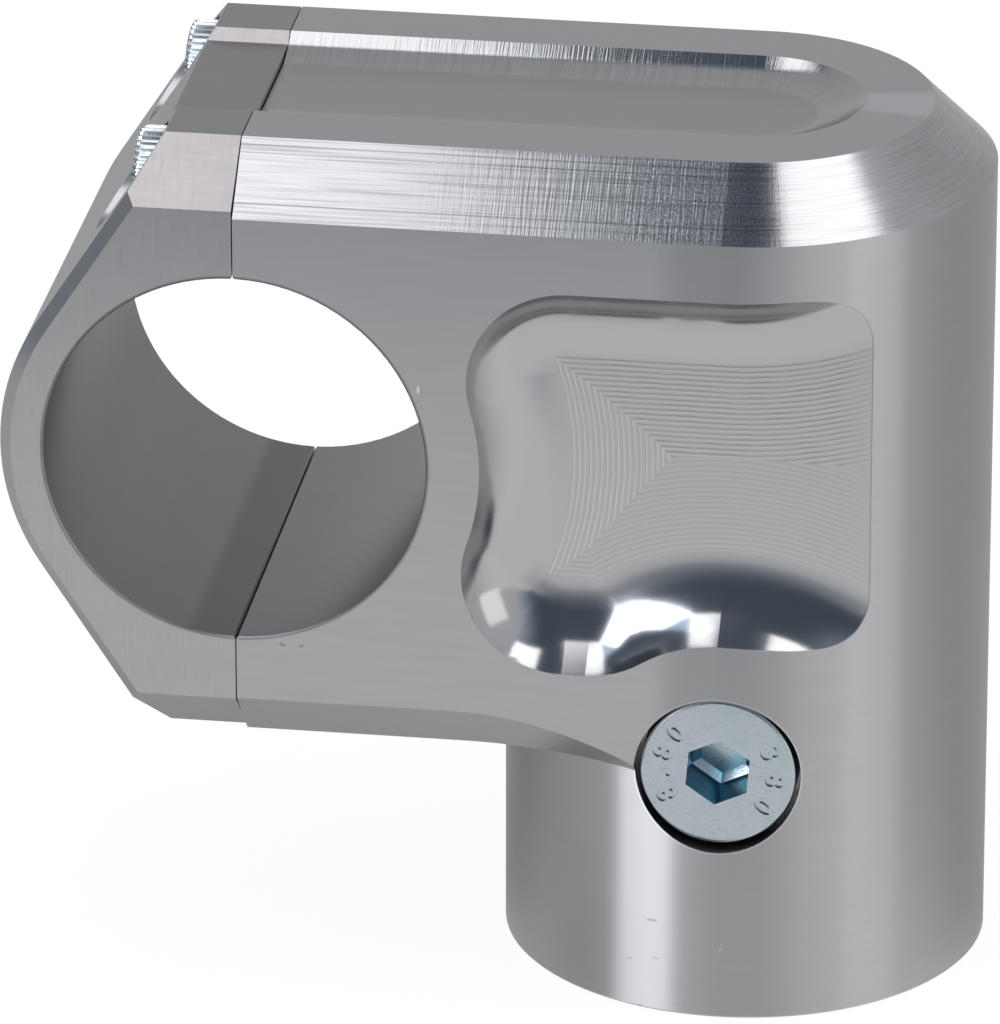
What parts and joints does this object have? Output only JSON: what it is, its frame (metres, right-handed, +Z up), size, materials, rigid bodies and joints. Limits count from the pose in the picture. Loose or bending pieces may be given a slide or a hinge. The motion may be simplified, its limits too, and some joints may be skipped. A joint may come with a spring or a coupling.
{
  "type": "handlebar clamp",
  "caption": "Two-piece milled clamp on an upright hub, holding a handlebar beside and above a round stud; socket head screws close the cap and a cross screw locks the stud.",
  "frame": {"origin": "centre of the hub's flat base", "axes": "+Z up along the hub, -X along the arm to the bar clamp, Y along the handlebar's axis; the side pocket and the cross screw's head face -Y"},
  "size_m": [0.08, 0.0406, 0.0744],
  "materials": {
    "milled_aluminium": "milled, uncoated",
    "zinc_plated_steel": "bright zinc plated with a blue tint"
  },
  "bodies": {
    "root": {"riser_body": "milled_aluminium", "bar_cap": "milled_aluminium", "clamp_screw_upper_front": "zinc_plated_steel", "clamp_screw_upper_back": "zinc_plated_steel", "clamp_screw_lower_front": "zinc_plated_steel", "clamp_screw_lower_back": "zinc_plated_steel", "cross_screw": "zinc_plated_steel"}
  },
  "joints": []
}
